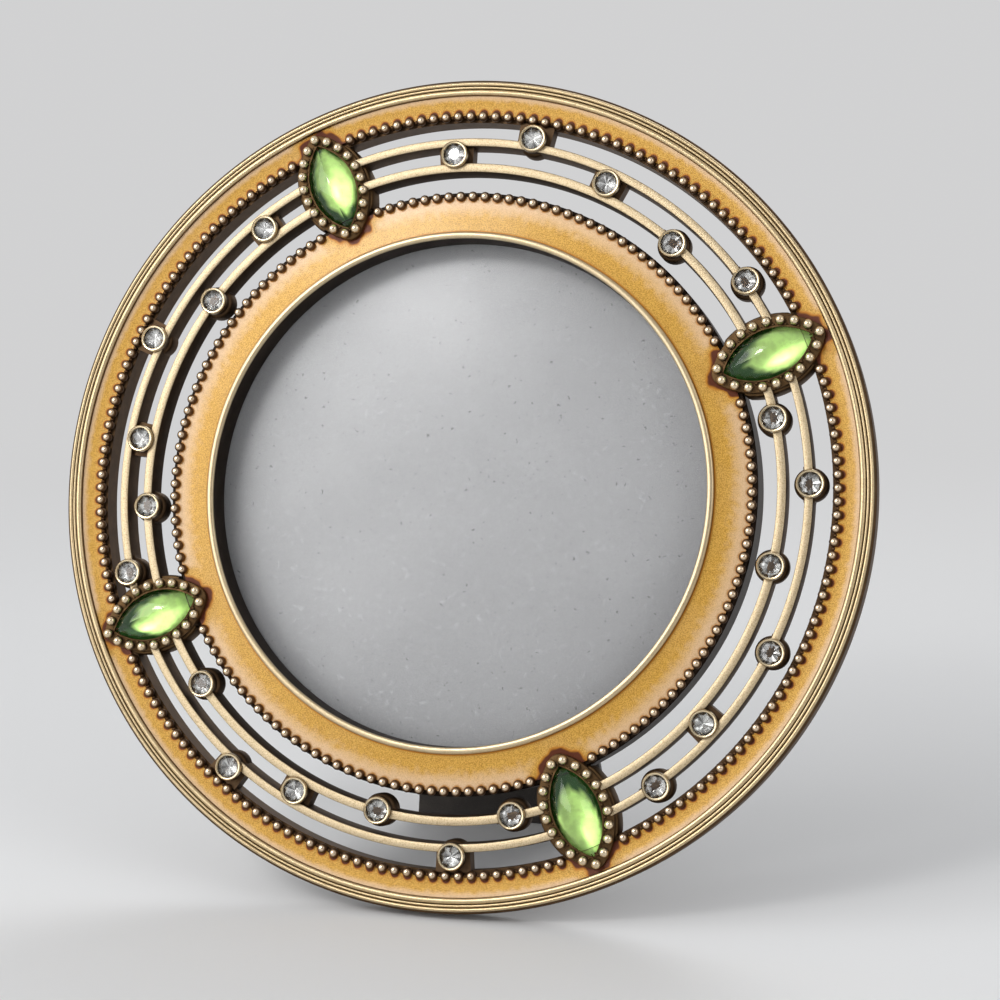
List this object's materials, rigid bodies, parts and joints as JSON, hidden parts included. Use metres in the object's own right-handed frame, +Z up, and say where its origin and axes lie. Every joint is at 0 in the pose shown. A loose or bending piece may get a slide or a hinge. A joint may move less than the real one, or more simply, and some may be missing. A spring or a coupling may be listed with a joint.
{
  "type": "round photo frame",
  "caption": "Round standing photo frame with honey enamel rings, beaded rows, jewelled openwork, a glazed window, and an easel leg on a hinge.",
  "frame": {"origin": "middle of the bounding box at table level", "axes": "+Z up from the table, the face looks along -Y and leans back, +X to the viewer's right"},
  "size_m": [0.154, 0.0656, 0.1515],
  "materials": {
    "gold": "gold-plated brass with an antique patina, ridges polished, recesses dark",
    "enamel": "translucent honey enamel over a metallic ground",
    "green_stone": "polished green cabochon with a foil back",
    "crystal": "clear cut crystal with a foil back",
    "pane": "clear flat glass",
    "card": "plain mid-grey print, matte",
    "flock": "board covered with short dark-brown flock",
    "hinge_metal": "plated sheet and pin, satin"
  },
  "bodies": {
    "frame": {"back_board": "flock", "button_screw_left": "hinge_metal", "button_screw_right": "hinge_metal", "crystal_cups_bottom": "gold", "crystal_cups_left": "gold", "crystal_cups_right": "gold", "crystal_cups_top": "gold", "crystals_bottom": "crystal", "crystals_left": "crystal", "crystals_right": "crystal", "crystals_top": "crystal", "glass_pane": "pane", "hinge_pin": "hinge_metal", "hinge_plate": "hinge_metal", "inner_bars": "gold", "inner_beads_bottom": "gold", "inner_beads_left": "gold", "inner_beads_right": "gold", "inner_beads_top": "gold", "inner_enamel": "enamel", "inner_ring": "gold", "navette_lower_left": "green_stone", "navette_lower_right": "green_stone", "navette_setting_lower_left": "gold", "navette_setting_lower_right": "gold", "navette_setting_upper_left": "gold", "navette_setting_upper_right": "gold", "navette_upper_left": "green_stone", "navette_upper_right": "green_stone", "outer_bars": "gold", "outer_beads_bottom": "gold", "outer_beads_left": "gold", "outer_beads_right": "gold", "outer_beads_top": "gold", "outer_enamel": "enamel", "outer_ring": "gold", "photo_card": "card", "setting_beads_lower_left": "gold", "setting_beads_lower_right": "gold", "setting_beads_upper_left": "gold", "setting_beads_upper_right": "gold"},
    "leg": {"easel_leg": "flock", "hinge_leaf": "hinge_metal"},
    "button_right": {"turn_button_right": "hinge_metal"},
    "button_left": {"turn_button_left": "hinge_metal"}
  },
  "joints": [
    {"name": "leg_hinge", "type": "hinge", "parent": "frame", "child": "leg", "pos_m": [0, 0.00308, 0.103], "axis": [1, 0, 0], "range_deg": [-27, 0]},
    {"name": "button_right_turn", "type": "hinge", "parent": "frame", "child": "button_right", "pos_m": [0.05362, -0.00479, 0.07403], "axis": [0, -0.9744, 0.225], "range_deg": [-90, 90]},
    {"name": "button_left_turn", "type": "hinge", "parent": "frame", "child": "button_left", "pos_m": [-0.05362, -0.00479, 0.07403], "axis": [0, -0.9744, 0.225], "range_deg": [-90, 90]}
  ]
}
